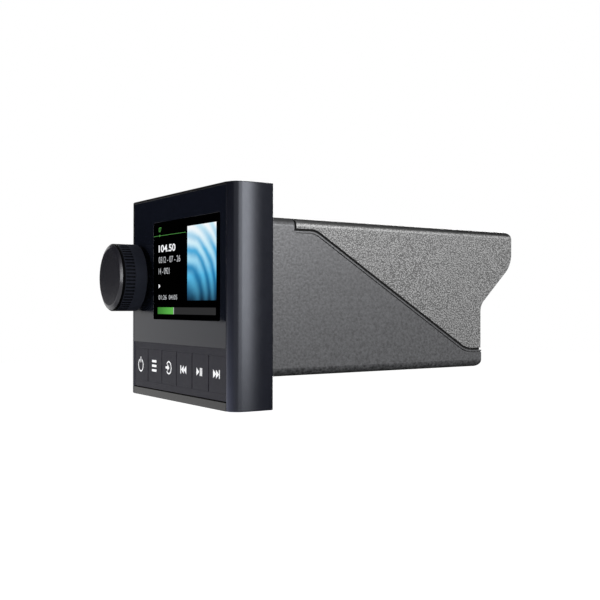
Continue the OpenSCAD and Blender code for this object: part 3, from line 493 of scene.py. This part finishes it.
def band(x, z, radius, stroke, start, end):
    """A ring segment, with its angles in degrees from the right."""
    inner = radius - stroke / 2
    outer = radius + stroke / 2
    turns = [math.radians(start + (end - start) * i / BAND_STEPS) for i in range(BAND_STEPS + 1)]
    rim = [(x + outer * math.cos(t), z + outer * math.sin(t)) for t in turns]
    return rim + [(x + inner * math.cos(t), z + inner * math.sin(t)) for t in reversed(turns)]


def disc(x, z, radius):
    turns = [2 * math.pi * i / DISC_STEPS for i in range(DISC_STEPS)]
    return [(x + radius * math.cos(t), z + radius * math.sin(t)) for t in turns]


def arrow_head(back, tip, z, half):
    """A triangle with its back and its tip at places in X."""
    return [(back, z - half), (tip, z), (back, z + half)]


camera()

# Finishes, by the slots of the record
bezel_black = satin_black("bezel_black", (0.014, 0.013, 0.0135), rough=0.18, specular=0.25)
trim_black = satin_black("trim_black", (0.005, 0.0055, 0.009), rough=0.26, specular=0.28,
                         sheen=(0.86, 0.9, 1), depth=0.0015 * MM)
key_black = satin_black("key_black", (0.023, 0.0225, 0.031), rough=0.5, specular=0.12)
grip_black = satin_black("grip_black", (0.026, 0.029, 0.041), rough=0.45, specular=0.04)
cap_black = satin_black("cap_black", (0.019, 0.0185, 0.024), rough=0.2, specular=0.18, sheen=(0.95, 0.96, 1))
grip_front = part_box("knob_grip")[0].y
# Painted shade in the grip's knurl grooves and gaps
paint_crevice_shade(grip_black, reach=0.8 * MM, power=3)
# Painted shade: the groove behind the cap is painted near black
paint_front_shade(grip_black, start=grip_front + 0.8 * MM, end=grip_front + 1.0 * MM, left=0.05)
FINISHES = {
    "panel_gloss": panel_gloss(),
    "window": screen_black(),
    "housing_grey": housing_grey(),
    "cover_cast": cover_grained(),
    "seal_rubber": soft_rubber(),
    "bezel_plastic": bezel_black,
    "trim_satin": trim_black,
    "key_rubber": key_black,
    "knob_black": grip_black,
    "white_plastic": plain_plastic("white_plastic", (0.72, 0.72, 0.69)),
    "black_plastic": plain_plastic("black_plastic", (0.016, 0.016, 0.018), 0.45),
    "board": plain_plastic("board", (0.02, 0.12, 0.055), 0.4),
    "chip": plain_plastic("chip", (0.014, 0.014, 0.014), 0.55),
    "display": plain_plastic("display", (0.03, 0.03, 0.035), 0.3),
    "steel": plain_metal("steel", (0.56, 0.56, 0.57), 0.32),
    "brass": plain_metal("brass", (0.72, 0.53, 0.26), 0.3),
    "copper": plain_metal("copper", (0.62, 0.30, 0.15), 0.35),
}
for name, cad in frame["nodes"].items():
    cad.data.materials.clear()
    cad.data.materials.append(FINISHES[SLOT_OF[name]])

# Front
bezel = dress("front_bezel", bezel_black, 0.15 * MM)
dress("face_panel", FINISHES["panel_gloss"], 0.12 * MM)
dress("display_glass", FINISHES["window"], 0.05 * MM)
trims = [dress(name, trim_black, 0.35 * MM, segments=3, flat_faces=False)
         for name in ("left_trim", "right_trim")]
dress("keypad_frame", key_black, 0.05 * MM, eases=no_edge)
for key in KEYS:
    dress("key_" + key, key_black, 0.12 * MM, eases=upright_edge)

# Knob
dress("knob_grip", grip_black, 0.12 * MM)
dress("knob_cap", cap_black, 0.3 * MM, segments=3, sharp_from=25)

# Body
housing = dress("main_housing", FINISHES["housing_grey"], 0.18 * MM)
cover = dress("rear_cover", FINISHES["cover_cast"], 0.25 * MM)
dress("mounting_gasket", FINISHES["seal_rubber"], 0.2 * MM)

# Rear
dress("power_socket", FINISHES["black_plastic"], 0.2 * MM)
dress("network_socket", FINISHES["black_plastic"], 0.15 * MM)
dress("data_connector", FINISHES["steel"], 0.25 * MM)
dress("antenna_socket", FINISHES["steel"], 0.15 * MM)

# Icons, drawn in millimetres round the centre of each key
ICON_PROUD = 0.02 * MM
ICON_THICK = 0.06 * MM
ICON_SHIFT = Vector((-0.6, 0.07)) * MM
STROKE = 0.55


def power_icon():
    gap = 24
    return [band(0, -0.35, radius=2.45, stroke=STROKE, start=90 + gap, end=450 - gap),
            rectangle(left=-STROKE / 2, low=0.7, right=STROKE / 2, high=3.0)]


def menu_icon():
    half = 2.2
    bar = 0.46
    pitch = 1.82
    return [rectangle(-half, i * pitch - bar, half, i * pitch + bar) for i in (-1, 0, 1)]


def source_icon():
    gap = 38
    tail = 0.42
    neck = -0.7
    overlap = 0.1
    return [band(0.4, 0, radius=2.3, stroke=STROKE, start=-180 + gap, end=180 - gap),
            rectangle(left=-2.6, low=-tail, right=neck, high=tail),
            arrow_head(back=neck - overlap, tip=1.0, z=0, half=1.35)]


def skip_icon(way):
    """Two arrow heads and a bar, which point to the right where way is 1 and to the left where it is -1."""
    half = 1.55
    head = 2.3
    bar = 0.32
    start = -head - bar
    stop = way * (start + 2 * head + bar)
    heads = [arrow_head(way * (start + i * head), way * (start + (i + 1) * head), 0, half) for i in (0, 1)]
    return heads + [rectangle(stop - bar, -half, stop + bar, half)]


def play_icon():
    half = 1.45
    bar = 0.36
    bars = [rectangle(x - bar, -half, x + bar, half) for x in (0.8, 1.95)]
    return [arrow_head(back=-2.4, tip=-0.1, z=0, half=half)] + bars


ICONS = {"power": power_icon(), "menu": menu_icon(), "source": source_icon(),
         "back": skip_icon(-1), "play": play_icon(), "next": skip_icon(1)}
white_icon = icon_white()
for key in KEYS:
    low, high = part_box("key_" + key)
    at_x = (low.x + high.x) / 2 + ICON_SHIFT.x
    at_z = (low.z + high.z) / 2 + ICON_SHIFT.y
    shape = [[(at_x + x * MM, at_z + z * MM) for x, z in outline] for outline in ICONS[key]]
    plate("icon_" + key, shape, low.y - ICON_PROUD, ICON_THICK, white_icon, key + "_key")

# Display content, in millimetres of X and Z on the front
LIT_PROUD = 0.02 * MM
LIT_THICK = 0.03 * MM
LIT_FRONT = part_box("display_glass")[0].y - LIT_PROUD
SLIVER = 0.001 * MM
TEXT_X = -16.4
HEADER_Z = 24.1
HEADER_HALF = 0.08
ART = {"left": 10.3, "low": -1.3, "right": 34.4, "high": 26.2}
RIPPLE_PITCH = 4.2
BAR_LOW = -6.5
BAR_HIGH = -3.9
BAR_LEFT = -17.3
BAR_RIGHT = 34.1
BAR_DONE = -1.7
BAR_MARK_WIDE = 0.5
BAR_MARK = BAR_DONE - BAR_MARK_WIDE
PLAY_WIDE = 1.6

lit_white = glowing("lit_white", (0.92, 0.93, 0.95))
lit_grey = glowing("lit_grey", (0.5, 0.51, 0.53))
lit_green = glowing("lit_green", (0.08, 0.3, 0.065))
lit_bar_rest = glowing("lit_bar_rest", (0.027, 0.027, 0.028))
lit_bar_done = glowing_bar("lit_bar_done", BAR_LEFT * MM, BAR_DONE * MM,
                           [(0.04, 0.2, 0.03), (0.12, 0.5, 0.08)])
lit_ripples = glowing_ripples(
    "lit_ripples", ART["low"] * MM, ART["high"] * MM,
    trough=[(0.006, 0.02, 0.04), (0.02, 0.2, 0.42), (0.08, 0.42, 0.72), (0.62, 0.85, 0.95)],
    crest=[(0.02, 0.09, 0.16), (0.1, 0.5, 0.8), (0.5, 0.82, 0.95), (0.98, 0.99, 1.0)],
    centre=(ART["left"] * MM, 0, ART["low"] * MM), pitch=RIPPLE_PITCH * MM)


def lit(name, outlines, mat):
    """A lit patch of the display."""
    scaled = [[(x * MM, z * MM) for x, z in outline] for outline in outlines]
    return plate(name, scaled, LIT_FRONT, LIT_THICK, mat, "base")


def lit_number(name, text, line, height, width, mat, bold=0.0):
    """Plain figures of that height and width, which start at TEXT_X and stand on the line."""
    curve = bpy.data.curves.new(name, "FONT")
    curve.body = text
    curve.offset = bold
    curve.extrude = LIT_THICK / 2
    shape = bpy.data.objects.new(name + "_curve", curve)
    scene.collection.objects.link(shape)
    mesh = bpy.data.meshes.new_from_object(shape.evaluated_get(bpy.context.evaluated_depsgraph_get()))
    bpy.data.objects.remove(shape)
    xs = [v.co.x for v in mesh.vertices]
    ys = [v.co.y for v in mesh.vertices]
    left = min(xs)
    foot = min(ys)
    wide = width * MM / (max(xs) - left)
    tall = height * MM / (max(ys) - foot)
    for v in mesh.vertices:
        x, y, z = v.co
        v.co = (TEXT_X * MM + (x - left) * wide, LIT_FRONT - z, line * MM + (y - foot) * tall)
    form = bmesh.new()
    form.from_mesh(mesh)
    bmesh.ops.dissolve_degenerate(form, dist=SLIVER, edges=form.edges)
    bmesh.ops.recalc_face_normals(form, faces=form.faces)
    form.to_mesh(mesh)
    form.free()
    mesh.name = name
    return add_piece(name, mesh, mat, "base")


header_line = rectangle(left=-21.4, low=HEADER_Z - HEADER_HALF, right=8.8, high=HEADER_Z + HEADER_HALF)
lit("lit_header", [header_line, disc(x=-15.4, z=HEADER_Z, radius=0.45)], lit_green)
lit_number("lit_band", "07", line=25.5, height=1.9, width=2.4, mat=lit_green)
lit_number("lit_title", "104.50", line=17.6, height=2.8, width=15.9, mat=lit_white, bold=0.02)
lit_number("lit_second", "0312 - 07 - 26", line=13.4, height=2.4, width=20.4, mat=lit_grey)
lit_number("lit_third", "14 - 0921", line=9.0, height=2.4, width=10.4, mat=lit_grey)
lit("lit_play", [arrow_head(back=TEXT_X, tip=TEXT_X + PLAY_WIDE, z=4.4, half=0.9)], lit_white)
lit_number("lit_time", "01:26  04:05", line=-0.9, height=1.8, width=17.6, mat=lit_grey)
lit("lit_bar_rest", [rectangle(BAR_DONE, BAR_LOW, BAR_RIGHT, BAR_HIGH)], lit_bar_rest)
lit("lit_bar_done", [rectangle(BAR_LEFT, BAR_LOW, BAR_MARK, BAR_HIGH)], lit_bar_done)
lit("lit_bar_mark", [rectangle(BAR_MARK, BAR_LOW, BAR_DONE, BAR_HIGH)], lit_grey)
lit("lit_picture", [rectangle(**ART)], lit_ripples)

# Stage: a pale floor, dark card and dark cloth that only gloss shows, and light
FLOOR_Z = -0.2
FLOOR_SIZE = 6.0
# The floor's brightness under the object, and where it starts to fade to white and is white, from the middle
FLOOR_LEVEL = 0.7
FLOOR_FADES = 0.3
FLOOR_WHITE = 0.6
WORLD_FILL = 0.05
# Folds of the dark card, by X, Y and the Z of its lower edge in millimetres
CARD_FOLDS = ((-1500, -250, -9), (-1200, -459, -9), (-230, -164, -15), (-200, -300, -15))
CARD_HIGH = 600
TENT_RADIUS = 1.6
TENT_STEPS = 24
TENT_ABOVE_FLOOR = 0.002
CLOTH_ABOVE_FLOOR = 0.004
# What the lamps face
OBJECT_MIDDLE = (0, 0.04, 0)
COVER_UPPER_FRONT = (0.036, 0.03, 0.025)
TRIM_LOWER_END = (0.046, -0.018, -0.039)


def stage_piece(name, form, mat):
    mesh = bpy.data.meshes.new(name)
    form.to_mesh(mesh)
    form.free()
    obj = bpy.data.objects.new(name, mesh)
    obj.data.materials.append(mat)
    scene.collection.objects.link(obj)
    return obj


def gloss_only(card):
    card.visible_camera = False
    card.visible_diffuse = False
    card.visible_shadow = False
    card.visible_transmission = False


def dark_cloth(name):
    return material(name, grey(0.004), 1.0, {"Specular IOR Level": 0.0})


def wall(form, feet, high):
    """Upright faces on a row of feet, up to a level. Their top corners are returned."""
    bottoms = [form.verts.new(foot) for foot in feet]
    tops = [form.verts.new((x, y, high)) for x, y, z in feet]
    for i in range(len(feet) - 1):
        form.faces.new((bottoms[i], bottoms[i + 1], tops[i + 1], tops[i]))
    return tops


def round_wall(form, first, last, low, high):
    """An upright round wall from one azimuth to another, in degrees."""
    turns = [math.radians(first + (last - first) * i / TENT_STEPS) for i in range(TENT_STEPS + 1)]
    return wall(form, [(TENT_RADIUS * math.sin(t), -TENT_RADIUS * math.cos(t), low) for t in turns], high)


def level_face(form, outline, z):
    form.faces.new([form.verts.new((x, y, z)) for x, y in outline])


def floor():
    mat = material("floor", grey(0.45), 0.9, {"Specular IOR Level": 0.0, "Emission Color": (1, 1, 1, 1)})
    reach = node(mat, "ShaderNodeVectorMath", operation="LENGTH")
    join(mat, position(mat), reach.inputs[0])
    level = spread(mat, reach.outputs["Value"], FLOOR_LEVEL, 1.0, FLOOR_FADES, FLOOR_WHITE)
    join(mat, combine(mat, "MULTIPLY", seen_plainly(mat), level), shader_of(mat).inputs["Emission Strength"])
    half = FLOOR_SIZE / 2
    form = bmesh.new()
    level_face(form, rectangle(-half, -half, half, half), FLOOR_Z)
    stage_piece("floor", form, mat)


def dark_card():
    """A folded dark card beside the front, which only the gloss of the front shows."""
    form = bmesh.new()
    wall(form, [Vector(fold) * MM for fold in CARD_FOLDS], CARD_HIGH * MM)
    gloss_only(stage_piece("dark_card", form, dark_cloth("dark_card")))


def dark_tent():
    """Dark cloth behind, above and below the object and far in front of it, which only its gloss shows."""
    form = bmesh.new()
    round_wall(form, first=-40, last=30, low=-0.06, high=0.6)
    form.faces.new(round_wall(form, first=120, last=262, low=FLOOR_Z + TENT_ABOVE_FLOOR, high=0.9))
    behind = rectangle(left=-TENT_RADIUS, low=0, right=TENT_RADIUS, high=TENT_RADIUS)
    below_knob = rectangle(left=-0.42, low=-0.35, right=-0.05, high=0)
    for patch in (behind, below_knob):
        level_face(form, patch, FLOOR_Z + CLOTH_ABOVE_FLOOR)
    gloss_only(stage_piece("dark_tent", form, dark_cloth("dark_tent")))


def world():
    """White to the eye, to gloss and to glass, and a soft even light to everything else."""
    sky = bpy.data.worlds.new("studio")
    scene.world = sky
    sky.use_nodes = True
    background = sky.node_tree.nodes["Background"]
    background.inputs["Color"].default_value = (1, 1, 1, 1)
    strength = spread(sky, seen_plainly(sky), WORLD_FILL, 1.0, start=0, end=1)
    join(sky, strength, background.inputs["Strength"])


def softbox(name, azimuth, elevation, distance, size, watts, only=None, spares=None, target=OBJECT_MIDDLE):
    """A lamp that faces the target. It lights only some pieces, or all but some that it spares."""
    data = bpy.data.lights.new(name, "AREA")
    data.shape = "RECTANGLE"
    data.size, data.size_y = size
    data.energy = watts
    lamp = bpy.data.objects.new(name, data)
    away = outward(azimuth, elevation)
    lamp.location = Vector(target) + away * distance
    lamp.rotation_euler = away.to_track_quat("Z", "Y").to_euler()
    scene.collection.objects.link(lamp)
    chosen = bpy.data.collections.new(name + "_pieces")
    for piece in only or spares:
        chosen.objects.link(piece)
    lamp.light_linking.receiver_collection = chosen
    for entry in chosen.collection_objects:
        entry.light_linking.link_state = "INCLUDE" if only else "EXCLUDE"
    return lamp


floor()
dark_card()
dark_tent()

# Light, with two small lamps close to the pieces that they light
softbox("side_light", azimuth=111, elevation=13, distance=1.3, size=(0.26, 0.8), watts=11,
        spares=[housing, cover, bezel])
softbox("housing_light", azimuth=110, elevation=22, distance=0.8, size=(0.18, 0.25), watts=9.8,
        only=[housing])
softbox("cover_light", azimuth=110, elevation=22, distance=0.8, size=(0.18, 0.25), watts=7, only=[cover])
near_light = softbox("near_light", azimuth=81, elevation=47, distance=0.192, size=(0.05, 0.05), watts=0.5,
                     only=[cover], target=COVER_UPPER_FRONT)
near_light.visible_camera = False
softbox("edge_light", azimuth=90, elevation=13, distance=1.3, size=(0.7, 0.8), watts=10,
        spares=[housing, cover, bezel])
softbox("rear_light", azimuth=150, elevation=14, distance=1.3, size=(0.35, 0.6), watts=5,
        spares=trims + [bezel])
softbox("left_light", azimuth=232, elevation=8, distance=1.3, size=(0.8, 0.66), watts=16, spares=[bezel])
softbox("front_light", azimuth=-15, elevation=9, distance=1.2, size=(0.2, 0.56), watts=7, spares=trims)
trim_light = softbox("trim_light", azimuth=-34, elevation=-55, distance=0.0625, size=(0.02, 0.02), watts=0.7,
                     only=trims, target=TRIM_LOWER_END)
trim_light.visible_camera = False
trim_light.visible_glossy = False
world()
scene.view_settings.view_transform = "Standard"
